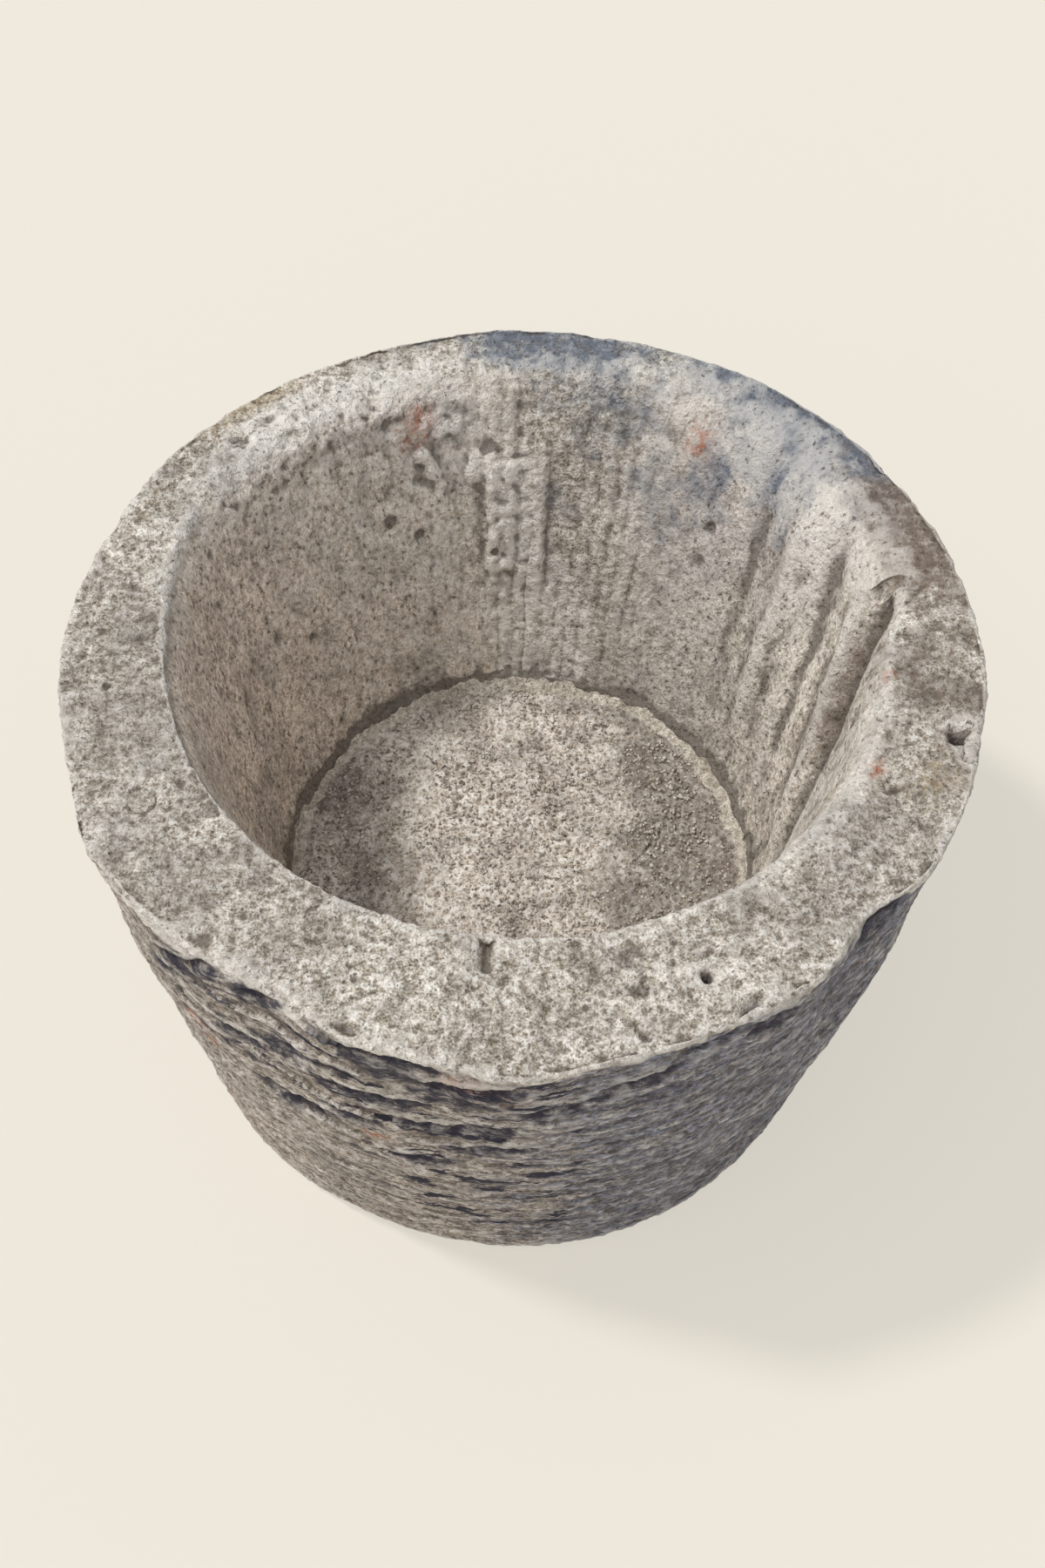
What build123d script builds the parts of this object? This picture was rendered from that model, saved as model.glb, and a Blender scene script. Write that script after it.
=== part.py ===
# Hand-carved limestone planter: one hollowed block, a grit bed on its floor,
# a mortar fillet round the bed and a mortar plug in the rim.
# Millimetres, +Z up, origin at the centre of the base face.
from build123d import *
import math
import os

os.makedirs("parts", exist_ok=True)

# Block
block_height = 475.0
base_radius = 307.0
rim_radius = 379.0
rim_shift_x = 11.0
rim_shift_y = 26.0
waist_height = 235.0
waist_swell = 6.0
foot_bevel_height = 14.0
foot_bevel_inset = 9.0
rim_bevel_height = 12.0
rim_bevel_inset = 6.0

# Breaks and swellings of the rim's outer edge: direction in degrees, spread in degrees, millimetres outwards
rim_lobes = [
    (210.0, 10.0, 8.0),
    (240.0, 9.0, -9.0),
    (270.0, 10.0, 9.0),
    (315.0, 9.0, -13.0),
    (345.0, 6.0, -6.0),
]

# Hollow
mouth_radius = 300.0
mouth_shift_x = 14.0
mouth_shift_y = 54.0
bed_top_height = 153.0
bed_radius = 214.0
bed_shift_x = 9.0
bed_shift_y = 18.0
pan_wall_height = 14.0
pan_wall_taper = 15.8
pan_ledge = 2.5
lip_depth = 26.0
lip_flare = 7.0

# Worn stretches of the mouth, then the rolled and broken stretches of its lip, in the rim's three terms
mouth_lobes = [(62.0, 30.0, 22.0), (158.0, 20.0, 10.0), (15.0, 18.0, 8.0)]
lip_lobes = [(42.0, 32.0, 26.0), (126.0, 40.0, 12.0), (325.0, 30.0, 8.0)]

# Crevices along the outer wall's bedding: direction, height, length, depth, opening, slope in degrees
crevices = [
    (255.0, 455.0, 84.0, 15.0, 9.0, 3.0),
    (264.0, 436.0, 96.0, 17.0, 10.0, 15.0),
    (243.0, 405.0, 100.0, 12.0, 9.0, 6.0),
    (262.0, 352.0, 108.0, 13.0, 10.0, 10.0),
    (227.0, 440.0, 80.0, 11.0, 9.0, 28.0),
    (235.0, 368.0, 90.0, 11.0, 9.0, 9.0),
    (248.0, 320.0, 84.0, 10.0, 9.0, 3.0),
    (266.0, 300.0, 84.0, 10.0, 9.0, 10.0),
    (284.0, 420.0, 68.0, 10.0, 9.0, 14.0),
    (316.0, 440.0, 56.0, 14.0, 16.0, -11.0),
    (190.0, 396.0, 80.0, 9.0, 8.0, -6.0),
    (150.0, 416.0, 92.0, 9.0, 9.0, 6.0),
    (80.0, 416.0, 88.0, 9.0, 9.0, 6.0),
    (40.0, 396.0, 92.0, 10.0, 9.0, -6.0),
]
crevice_taper = 12.0

# Flutes worn down the right-hand wall: direction at the lip and at the foot, lip radius, lip depth
flutes = [(7.0, 345.0, 34.0, 18.0), (23.0, 12.0, 36.0, 11.0), (41.0, 38.0, 42.0, 8.0)]
flute_foot_radius = 16.0
flute_foot_rise = 40.0

# Floor bed, fillet and plug
bed_thickness = 25.0
fillet_leg = 8.0
fillet_hollow = 1.5
fillet_clearance = 0.2
plug_radius = 11.0
plug_depth = 46.0
plug_clearance = 0.3
plug_recess = 1.0
plug_direction = 206.8
plug_inset = 48.0

# Outer edge notch on the right, with the slot beside it
notch_direction = 344.1
notch_width = 20.0
notch_bite = 15.0
notch_depth = 42.0
slot_direction = 346.2
slot_length = 30.0
slot_width = 9.0
slot_depth = 20.0
slot_inset = 14.0
slot_turn = 10.0

outline_points = 60
clear_over = 10.0


def bump(direction, lobes):
    # Sum of smooth swellings at one direction
    total = 0.0
    for centre, spread, size in lobes:
        away = (direction - centre + 180.0) % 360.0 - 180.0
        total += size * math.exp(-2.0 * (away / spread) ** 2)
    return total


def outline(radius, centre, lobes, share=1.0):
    # Closed row of points round a centre, swollen by a share of the lobes
    points = []
    for step in range(outline_points):
        direction = 360.0 * step / outline_points
        reach = radius + share * bump(direction, lobes)
        x = centre[0] + reach * math.cos(math.radians(direction))
        y = centre[1] + reach * math.sin(math.radians(direction))
        points.append((x, y))
    return points


def along(start, end, share):
    # Point at a share of the way between two centres
    return (start[0] + (end[0] - start[0]) * share, start[1] + (end[1] - start[1]) * share)


base_centre = (0.0, 0.0)
rim_centre = (rim_shift_x, rim_shift_y)
mouth_centre = (mouth_shift_x, mouth_shift_y)
bed_centre = (bed_shift_x, bed_shift_y)

pan_height = bed_top_height - bed_thickness
pan_slope = math.tan(math.radians(pan_wall_taper))
pan_radius = bed_radius - bed_thickness * pan_slope
pan_wall_top = bed_top_height + pan_wall_height
pan_wall_radius = bed_radius + pan_wall_height * pan_slope
lip_height = block_height - lip_depth
hollow_foot_radius = pan_wall_radius + pan_ledge


def wall_radius(height):
    # Straight batter from base to rim with a slight swell
    share = height / block_height
    return base_radius + (rim_radius - base_radius) * share + waist_swell * 4.0 * share * (1.0 - share)


def outer_wall(height, inset=0.0):
    # Section of the block at a height
    share = height / block_height
    return outline(wall_radius(height) - inset, along(base_centre, rim_centre, share), rim_lobes, share ** 3)


def inner_wall(height):
    # Section of the hollow at a height: it leans from the pan's circle towards the off-centre mouth
    share = (height - pan_wall_top) / (block_height - pan_wall_top)
    flare = lip_flare * max(0.0, height - lip_height) / lip_depth
    radius = hollow_foot_radius + (mouth_radius - lip_flare - hollow_foot_radius) * share + flare
    return radius, along(bed_centre, mouth_centre, share), share ** 2


def wall_point(direction, height, inwards=0.0):
    # Point on the hollow's wall, or a little inside it
    radius, centre, share = inner_wall(height)
    reach = radius + share * bump(direction, mouth_lobes) - inwards
    x = centre[0] + reach * math.cos(math.radians(direction))
    y = centre[1] + reach * math.sin(math.radians(direction))
    return (x, y)


def on_rim(direction, reach):
    # Point of the rim's plane at a distance from the rim's centre
    x = rim_centre[0] + reach * math.cos(math.radians(direction))
    y = rim_centre[1] + reach * math.sin(math.radians(direction))
    return (x, y)


# Stone block: base, foot, waist and rim sections, each with its inset
wall_sections = [
    (0.0, foot_bevel_inset),
    (foot_bevel_height, 0.0),
    (waist_height, 0.0),
    (block_height - rim_bevel_height, 0.0),
    (block_height, rim_bevel_inset),
]

with BuildPart() as stone_block:
    for height, inset in wall_sections:
        with BuildSketch(Plane.XY.offset(height)):
            with BuildLine():
                Polyline(outer_wall(height, inset), close=True)
            make_face()
    loft(ruled=True)

    # Pan that the bed fills, a true cone so that the bed and its fillet fit it
    with BuildSketch(Plane.XY.offset(pan_height)):
        with Locations(bed_centre):
            Circle(pan_radius)
    with BuildSketch(Plane.XY.offset(pan_wall_top)):
        with Locations(bed_centre):
            Circle(pan_wall_radius)
    loft(mode=Mode.SUBTRACT)

    # Hollow above the pan, leaning back to the off-centre mouth and flaring at the lip
    for height in (pan_wall_top, lip_height, block_height, block_height + clear_over):
        radius, centre, share = inner_wall(min(height, block_height))
        lobes = [(place, spread, size * share) for place, spread, size in mouth_lobes]
        if height > lip_height:
            lobes = lobes + lip_lobes
        with BuildSketch(Plane.XY.offset(height)):
            with BuildLine():
                Polyline(outline(radius, centre, lobes), close=True)
            make_face()
    loft(ruled=True, mode=Mode.SUBTRACT)

    # Worn flutes: each leans down the wall from its lip and dies out above the bed
    for lip_direction, foot_direction, lip_radius, lip_cut in flutes:
        foot_height = pan_wall_top + flute_foot_rise
        turn = (foot_direction - lip_direction + 180.0) % 360.0 - 180.0
        for share in (0.0, 0.5, 1.0):
            height = block_height + (foot_height - block_height) * share
            radius = lip_radius + (flute_foot_radius - lip_radius) * share
            cut = lip_cut * (1.0 - share)
            with BuildSketch(Plane.XY.offset(height)):
                with Locations(wall_point(lip_direction + turn * share, height, radius - cut)):
                    Circle(radius)
        loft(ruled=True, mode=Mode.SUBTRACT)

    # Crevices: lens-shaped pockets driven into the outer wall along its bedding
    for direction, height, length, depth, opening, slope in crevices:
        turn = math.radians(direction)
        share = height / block_height
        centre = along(base_centre, rim_centre, share)
        reach = wall_radius(height) + share ** 3 * bump(direction, rim_lobes) - depth
        middle = (centre[0] + reach * math.cos(turn), centre[1] + reach * math.sin(turn), height)
        tangent = (-math.sin(turn), math.cos(turn), math.tan(math.radians(slope)))
        wall_plane = Plane(origin=middle, x_dir=tangent, z_dir=(math.cos(turn), math.sin(turn), 0))
        with BuildSketch(wall_plane):
            with BuildLine():
                ThreePointArc((-length / 2, 0), (0, opening / 3), (length / 2, 0))
                ThreePointArc((length / 2, 0), (0, -2 * opening / 3), (-length / 2, 0))
            make_face()
        extrude(amount=depth + clear_over, taper=-crevice_taper, mode=Mode.SUBTRACT)

    # Broken notch in the outer edge, and the slot cut beside it
    notch_reach = rim_radius + notch_width / 2 - notch_bite
    with BuildSketch(Plane.XY.offset(block_height)):
        with Locations(on_rim(notch_direction, notch_reach)):
            Circle(notch_width / 2)
    extrude(amount=-notch_depth, mode=Mode.SUBTRACT)
    with BuildSketch(Plane.XY.offset(block_height)):
        with Locations(on_rim(slot_direction, rim_radius - slot_inset)):
            Rectangle(slot_length, slot_width, rotation=slot_turn)
    extrude(amount=-slot_depth, mode=Mode.SUBTRACT)

    # Hole for the plug
    with BuildSketch(Plane.XY.offset(block_height)):
        with Locations(on_rim(plug_direction, rim_radius - plug_inset)):
            Circle(plug_radius + plug_clearance)
    extrude(amount=-plug_depth, mode=Mode.SUBTRACT)

# Floor bed: fills the pan to the top of its cone
with BuildPart() as floor_bed:
    with BuildSketch(Plane.XY.offset(pan_height)):
        with Locations(bed_centre):
            Circle(pan_radius)
    with BuildSketch(Plane.XY.offset(bed_top_height)):
        with Locations(bed_centre):
            Circle(bed_radius)
    loft()

# Edge fillet: a hollow-faced bead turned round on the bed, close against the wall
bead_plane = Plane(origin=(bed_shift_x, bed_shift_y, bed_top_height), x_dir=(1, 0, 0), z_dir=(0, -1, 0))
with BuildPart() as edge_fillet:
    with BuildSketch(bead_plane):
        with BuildLine():
            corner = (bed_radius - fillet_clearance, 0)
            wall_top = (corner[0] + fillet_leg * pan_slope, fillet_leg)
            middle = (corner[0] - fillet_leg / 2 + fillet_hollow, fillet_leg / 2 - fillet_hollow)
            bed_edge = (corner[0] - fillet_leg, 0)
            Polyline(corner, wall_top, middle, bed_edge, close=True)
        make_face()
    revolve(axis=Axis((bed_shift_x, bed_shift_y, 0), (0, 0, 1)))

# Rim plug: stands on the bottom of its hole, its top a little under the rim
with BuildPart() as rim_plug:
    with BuildSketch(Plane.XY.offset(block_height - plug_depth)):
        with Locations(on_rim(plug_direction, rim_radius - plug_inset)):
            Circle(plug_radius)
    extrude(amount=plug_depth - plug_recess)

pieces = {
    "stone_block": stone_block,
    "floor_bed": floor_bed,
    "edge_fillet": edge_fillet,
    "rim_plug": rim_plug,
}
for name, piece in pieces.items():
    piece.part.label = name
    export_step(piece.part, f"parts/{name}.step")
    size = piece.part.bounding_box().size
    print(name, len(piece.part.solids()), "solid,", [round(side, 1) for side in (size.X, size.Y, size.Z)])
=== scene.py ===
import bmesh
import bpy
import math
import numpy as np
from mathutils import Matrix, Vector


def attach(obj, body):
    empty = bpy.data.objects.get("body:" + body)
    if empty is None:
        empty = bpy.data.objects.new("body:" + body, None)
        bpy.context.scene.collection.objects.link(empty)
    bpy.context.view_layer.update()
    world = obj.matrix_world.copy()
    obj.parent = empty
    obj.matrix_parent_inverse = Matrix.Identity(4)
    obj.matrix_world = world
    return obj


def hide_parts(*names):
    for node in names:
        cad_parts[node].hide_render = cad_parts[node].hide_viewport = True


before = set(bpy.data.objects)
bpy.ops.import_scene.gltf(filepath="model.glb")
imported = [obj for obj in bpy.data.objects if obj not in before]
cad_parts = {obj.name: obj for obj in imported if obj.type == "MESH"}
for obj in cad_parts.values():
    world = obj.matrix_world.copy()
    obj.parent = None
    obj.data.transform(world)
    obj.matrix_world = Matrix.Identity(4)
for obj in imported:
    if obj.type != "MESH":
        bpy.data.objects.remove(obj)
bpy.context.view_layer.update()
mm = 0.001

# helpers, all in millimetres: a is a direction in degrees, p an array of points and z their heights


def turnTo(direction, centre):
    # how far one direction lies from another, -180 to 180 degrees
    return (direction - centre + 180.0) % 360.0 - 180.0


def arc(direction, centre, radius):
    # the same, as a length along a circle
    return turnTo(direction, centre) * math.radians(1) * radius


def window(direction, centre, spread):
    # 1 at a direction, falling away over a spread in degrees
    return np.exp(-2.0 * (turnTo(direction, centre) / spread) ** 2)


def between(first, last, share):
    # a place part of the way from one centre to another
    return [low + (high - low) * share for low, high in zip(first, last)]


def smoothStep(value, low, high):
    share = np.clip((value - low) / (high - low), 0.0, 1.0)
    return share * share * (3.0 - 2.0 * share)


def softNoise(points, seed):
    # gradient noise, about -0.7 to 0.7
    dice = np.random.default_rng(seed)
    order = dice.permutation(256)
    slopes = dice.normal(size=(256, 3))
    slopes /= np.linalg.norm(slopes, axis=1)[:, None]
    cell = np.floor(points).astype(np.int64)
    part = points - cell
    ease = part ** 3 * (part * (part * 6.0 - 15.0) + 10.0)
    total = np.zeros(len(points))
    for dx in (0, 1):
        ix = order[(cell[:, 0] + dx) & 255]
        wx = ease[:, 0] if dx else 1.0 - ease[:, 0]
        for dy in (0, 1):
            iy = order[(ix + cell[:, 1] + dy) & 255]
            wy = ease[:, 1] if dy else 1.0 - ease[:, 1]
            for dz in (0, 1):
                g = slopes[order[(iy + cell[:, 2] + dz) & 255]]
                wz = ease[:, 2] if dz else 1.0 - ease[:, 2]
                dot = g[:, 0] * (part[:, 0] - dx) + g[:, 1] * (part[:, 1] - dy)
                dot = dot + g[:, 2] * (part[:, 2] - dz)
                total += wx * wy * wz * dot
    return total * 1.5


def fractal(points, size, octaves, seed):
    # layers of softNoise, each half as large and half as strong; size is one number or one for each axis
    total = np.zeros(len(points))
    scaled = points / np.asarray(size, float)
    for level in range(octaves):
        total += softNoise(scaled * 2.0 ** level + 17.3 * level, seed + level) * 0.5 ** level
    return total


def ridged(points, size, seed):
    return 1.0 - 2.0 * np.abs(softNoise(points / np.asarray(size, float), seed))


def scatteredPits(points, size, share, seed):
    # round hollows, 1 at the middle, in a share of the cells of a loose grid
    scaled = points / size
    cell = np.floor(scaled).astype(np.int64)
    best = np.zeros(len(points))
    for dx in (-1, 0, 1):
        for dy in (-1, 0, 1):
            for dz in (-1, 0, 1):
                near = cell + np.array([dx, dy, dz])
                code = (near[:, 0] * 73856093) ^ (near[:, 1] * 19349663)
                code = code ^ (near[:, 2] * 83492791) ^ seed
                code = (code * 2654435761) & 0xFFFFFFFF
                jitter = np.stack([(code >> shift & 255) / 255.0 for shift in (0, 8, 16)], 1)
                chosen = ((code >> 24) & 255) < share * 256
                away = np.linalg.norm(scaled - near - jitter, axis=1)
                reach = 0.16 + 0.22 * jitter[:, 0]
                best = np.maximum(best, np.where(chosen, np.clip(1.0 - away / reach, 0.0, 1.0), 0.0))
    return best


def nearLine(points, start, end, width):
    # 1 on a line between two places of the rim's plane, falling away over a width
    start, end = np.asarray(start, float), np.asarray(end, float)
    run = end - start
    share = np.clip(((points[:, :2] - start) @ run) / (run @ run), 0.0, 1.0)
    away = np.linalg.norm(points[:, :2] - start - share[:, None] * run, axis=1)
    return np.exp(-(away / width) ** 2)


# the stone block: its sizes, and the marks on it

stone = {
    "columns": 1400,
    "wallRows": 150,
    "rimRows": 46,
    "hollowRows": 118,
    "cornerRows": 16,
    "triangles": 192000,
    "height": 475.0,
    "baseRadius": 307.0,
    "rimRadius": 379.0,
    "rimCentre": (11.0, 26.0),
    "swell": 6.0,
    # direction, spread, mm
    "rimLobes": [(210, 10, 8), (240, 9, -9), (270, 10, 9), (315, 9, -13), (345, 6, -6)],
    "mouthRadius": 300.0,
    "mouthCentre": (14.0, 54.0),
    "mouthLobes": [(62, 30, 22), (158, 20, 10), (15, 18, 8)],
    "lipFlare": 5.0,
    "lipDepth": 26.0,
    "bedRadius": 214.0,
    "bedCentre": (9.0, 18.0),
    "bedTop": 153.0,
    "panFloor": 128.0,
    "panTop": 167.0,
    "panLedge": 2.5,
    "panSlope": math.tan(math.radians(15.8)),
    # direction at the lip and at the foot, radius, depth
    "flutes": [(7, 345, 34, 22), (23, 12, 36, 12), (41, 38, 42, 9)],
    # direction at the lip and at the foot, height
    "ridges": [(30.5, 27, 7.0), (14, 349, 6.0)],
    # lens-shaped undercuts along the bedding: direction, height, half length, depth, half height, rise
    "crevices": [
        (255, 462, 40, 15, 6, 0.05), (264, 440, 48, 17, 7, 0.28), (262, 355, 54, 13, 7, 0.19),
        (266, 308, 42, 10, 6, 0.18), (227, 448, 40, 10, 6, 0.55), (238, 462, 26, 9, 5, 0.3),
        (243, 408, 50, 9, 6, 0.1), (235, 380, 44, 9, 6, 0.16), (248, 332, 40, 8, 6, 0.05),
        (240, 298, 46, 8, 6, 0.12), (275, 402, 36, 9, 6, 0.2), (252, 388, 50, 10, 6, 0.12),
        (222, 402, 34, 7, 5, 0.3), (228, 342, 40, 7, 5, 0.2), (256, 268, 46, 7, 5, 0.1),
        (292, 455, 22, 10, 7, 0.3), (300, 448, 26, 12, 8, -0.2), (318, 462, 26, 12, 8, 0.2),
        (284, 425, 34, 8, 6, 0.25), (205, 430, 40, 7, 6, 0.2), (190, 400, 40, 6, 5, -0.1),
        (150, 420, 46, 7, 6, 0.1), (120, 380, 50, 7, 6, -0.15), (80, 420, 44, 7, 6, 0.1),
        (40, 400, 46, 8, 6, -0.1), (10, 430, 40, 7, 6, 0.15), (340, 380, 40, 7, 6, 0.1),
        (60, 300, 50, 6, 6, 0.1),
    ],
    # dents in the rim: direction, reach from its centre, radius, depth
    "dents": [(286, 300, 14, 3.2), (286, 325, 12, 2.4), (344.1, 378, 11, 26), (206.8, 331, 12.4, 5.0),
              (297, 377, 13, 9), (303, 380, 9, 6), (250, 376, 12, 5), (229, 372, 16, 7), (33, 384, 10, 6),
              (26, 384, 8, 5), (159, 382, 10, 5), (152, 382, 8, 4), (294.1, 334, 4.5, 14)],
    "roughDent": (136.8, 345, 9, 6),
    # notches and slits in the rim: start, end, width, depth
    "cuts": [((-15, -270), (-14, -236), 5.0, 9.0), ((297, -116), (315, -109), 2.4, 2.5),
             ((315, 56), (349, 93), 1.8, 1.4), ((358, -61), (380, -61), 5.5, 22.0)],
    # holes in the hollow's wall: direction, height, radius, depth
    "wallHoles": [(50.8, 366, 6, 5), (112, 330, 5, 4), (118, 352, 7, 3), (96, 300, 4, 4)],
    # rust spots: direction, height, size on the outer and the inner wall, and x, y, size on the lip
    "outerRust": [(225, 324, 16), (226, 289, 9), (251.6, 296, 10), (264.5, 436, 26), (258, 330, 9)],
    "innerRust": [(59, 433, 12), (109, 430, 16), (107, 445, 9)],
    "lipRust": [(309, 1, 7), (290, -93, 7)],
    # painted shade across the rim's whole width: direction, spread, amount
    "paintedShadeSpots": [(140, 7, 0.6), (222, 8, 0.5), (205, 60, 0.4), (318, 20, 0.45)],
}


def lobes(direction, rows):
    total = np.zeros_like(direction)
    for centre, spread, size in rows:
        total += size * window(direction, centre, spread)
    return total


def outerPoint(direction, height):
    share = height / stone["height"]
    radius = stone["baseRadius"] + (stone["rimRadius"] - stone["baseRadius"]) * share
    radius = radius + stone["swell"] * 4.0 * share * (1.0 - share)
    radius = radius + share ** 3 * lobes(direction, stone["rimLobes"])
    turn = np.radians(direction)
    x = stone["rimCentre"][0] * share + radius * np.cos(turn)
    y = stone["rimCentre"][1] * share + radius * np.sin(turn)
    return np.stack([x, y, np.broadcast_to(height, x.shape)], -1)


def hollowPoint(direction, height):
    low, top = stone["panTop"], stone["height"]
    share = (height - low) / (top - low)
    flare = stone["lipFlare"]
    footRadius = stone["bedRadius"] + (low - stone["bedTop"]) * stone["panSlope"] + stone["panLedge"]
    radius = footRadius + (stone["mouthRadius"] - flare - footRadius) * share
    radius = radius + flare * smoothStep(height, top - stone["lipDepth"], top)
    radius = radius + share ** 2 * lobes(direction, stone["mouthLobes"])
    turn = np.radians(direction)
    x, y = between(stone["bedCentre"], stone["mouthCentre"], share)
    x = x + radius * np.cos(turn)
    y = y + radius * np.sin(turn)
    return np.stack([x, y, np.broadcast_to(height, x.shape)], -1)


def panPoint(direction, height):
    radius = stone["bedRadius"] + (height - stone["bedTop"]) * stone["panSlope"]
    turn = np.radians(direction)
    x = stone["bedCentre"][0] + radius * np.cos(turn)
    y = stone["bedCentre"][1] + radius * np.sin(turn)
    return np.stack([x, y, np.full_like(x, height)], -1)


def curved(start, corner, end, share):
    return start * (1 - share) ** 2 + corner * 2 * share * (1 - share) + end * share ** 2


def alongRim(direction, size, seed):
    # noise round a circle, for edges
    turn = np.radians(direction)
    ring = np.stack([np.cos(turn), np.sin(turn), np.zeros_like(turn)], -1) * 340.0
    return fractal(ring, size, 3, seed)


def stoneGrid():
    # rows run from the middle of the base, up the wall, over the rim and down to the middle of the pan
    top = stone["height"]
    a = np.arange(stone["columns"]) * 360.0 / stone["columns"]
    # how far the corners of the rim are rounded, on top and down the sides
    outerTop = 2.5 + 6.0 * np.abs(alongRim(a, 60, 5)) + 16.0 * window(a, 235, 16)
    outerTop += 6.0 * window(a, 316, 7)
    outerSide = 4.0 + 7.0 * np.abs(alongRim(a, 55, 6)) + 22.0 * window(a, 235, 16)
    outerSide += 16.0 * window(a, 317, 7)
    roll = np.maximum(window(a, 42, 34), 0.75 * window(a, 20, 20))
    worn = window(a, 325, 34)
    chipped = np.clip(window(a, 126, 44) * 1.3, 0, 1)
    innerTop = 2.5 + 3.0 * np.abs(alongRim(a, 40, 7)) + 44.0 * roll + 10.0 * worn + 24.0 * chipped
    innerSide = 3.0 + 3.0 * np.abs(alongRim(a, 45, 8)) + 52.0 * roll + 14.0 * worn + 16.0 * chipped
    edgeShift = 3.5 * alongRim(a, 34, 9) + 2.0 * alongRim(a, 11, 10)
    rows, zones = [], []

    def add(row, outer, rim, hollow):
        rows.append(row)
        zones.append((outer, rim, hollow))

    low = np.zeros_like(a)
    for share in (0.4, 0.75, 0.93):
        add(outerPoint(a, low) * [share, share, 1], 0, 0, 0)
    footIn = outerPoint(a, low) * 0.955
    footEnd = outerPoint(a, low + 14.0)
    for share in np.linspace(0, 1, 7)[:-1]:
        add(curved(footIn, outerPoint(a, low), footEnd, share), share, 0, 0)
    wallTop = top - outerSide
    for share in np.linspace(0, 1, stone["wallRows"])[:-1]:
        add(outerPoint(a, 14.0 + (wallTop - 14.0) * share), 1, 0, 0)
    edge = outerPoint(a, low + top)
    mouth = hollowPoint(a, low + top)
    mouth[:, 0] += edgeShift * np.cos(np.radians(a))
    mouth[:, 1] += edgeShift * np.sin(np.radians(a))
    across = mouth - edge
    width = np.linalg.norm(across, axis=1)[:, None]
    across = across / width
    scale = np.minimum(1.0, 0.9 * width[:, 0] / (outerTop + innerTop))[:, None]
    rimStart = edge + across * outerTop[:, None] * scale
    rimEnd = mouth - across * innerTop[:, None] * scale
    wallStart = outerPoint(a, wallTop)
    for share in np.linspace(0, 1, stone["cornerRows"])[:-1]:
        add(curved(wallStart, edge, rimStart, share), 1 - share, share, 0)
    for share in np.linspace(0, 1, stone["rimRows"])[:-1]:
        add(rimStart + (rimEnd - rimStart) * share, 0, 1, 0)
    sideTop = top - innerSide
    hollowStart = hollowPoint(a, sideTop)
    for share in np.linspace(0, 1, stone["cornerRows"] + 4)[:-1]:
        add(curved(rimEnd, mouth, hollowStart, share), 0, 1 - share, share)
    for share in np.linspace(0, 1, stone["hollowRows"]):
        add(hollowPoint(a, sideTop + (stone["panTop"] - sideTop) * share), 0, 0, 1)
    for height in (166.5, 161.0, 156.0, 151.0, 140.0, 128.0):
        add(panPoint(a, height), 0, 0, 0.4 if height > 152 else 0)
    centre = np.array([stone["bedCentre"][0], stone["bedCentre"][1], 0])
    for share in (0.7, 0.3):
        add((panPoint(a, 128.0) - centre) * [share, share, 1] + centre, 0, 0, 0)
    return a, np.array(rows), np.array(zones, float)


def creviceDepth(p, a):
    # how deep the bedding is opened at each point, in millimetres
    depthHere = np.zeros(len(p))
    wander = 5.0 * softNoise(p / 26.0, 41) + 2.5 * softNoise(p / 9.0, 42)
    for direction, height, half, depth, thick, rise in stone["crevices"]:
        along = arc(a, direction, 365.0)
        level = (p[:, 2] - height - rise * along + wander) / thick
        shape = np.where(level < 0, np.exp(-(level * 0.8) ** 2), np.exp(-(level * 2.6) ** 2))
        depthHere = np.maximum(depthHere, depth * np.exp(-2.0 * (along / half) ** 2) * shape)
    return depthHere


def ledgeShade(p, a):
    # painted shadow: the dark band that hangs under each opened layer
    shade = np.zeros(len(p))
    wander = 9.0 * softNoise(p / 24.0, 43) + 5.0 * softNoise(p / 8.0, 44)
    for direction, height, half, depth, thick, rise in stone["crevices"]:
        along = arc(a, direction, 365.0)
        under = height + 3.0 + rise * along + wander - p[:, 2]
        lens = 2.9 * depth * np.sqrt(np.clip(1.0 - (along / half) ** 2, 0, 1))
        shade = np.maximum(shade, smoothStep(under, -4, 3) * smoothStep(lens - under, -2, 9))
    return shade


def outerRelief(p, a):
    z = p[:, 2]
    left = window(a, 246, 36)
    # broken ledges: layers that stand out over a sharp undercut, in patches
    warp = 16.0 * fractal(p, 130, 2, 21) + 5.0 * fractal(p, 36, 2, 23)
    layer = (z + warp + 22.0 * np.sin(np.radians(a - 215))) / 36.0
    part = layer - np.floor(layer)
    patch = smoothStep(fractal(p, (110, 110, 46), 2, 25), -0.05, 0.35)
    size = (1.0 + 4.5 * left) * (0.35 + 0.65 * smoothStep(z, 120, 330))
    relief = size * (part ** 2.2 - 0.3) * patch
    relief += 5.0 * fractal(p, 170, 2, 31) + 1.6 * fractal(p, (46, 46, 24), 2, 32)
    relief += 0.7 * (ridged(p, (24, 24, 13), 33) - 0.5)
    relief += 1.3 * fractal(p, (13, 13, 9), 2, 34) + 0.9 * fractal(p, 5, 1, 35)
    relief -= 2.5 * scatteredPits(p, 26.0, 0.35, 36)
    return relief - creviceDepth(p, a)


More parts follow.
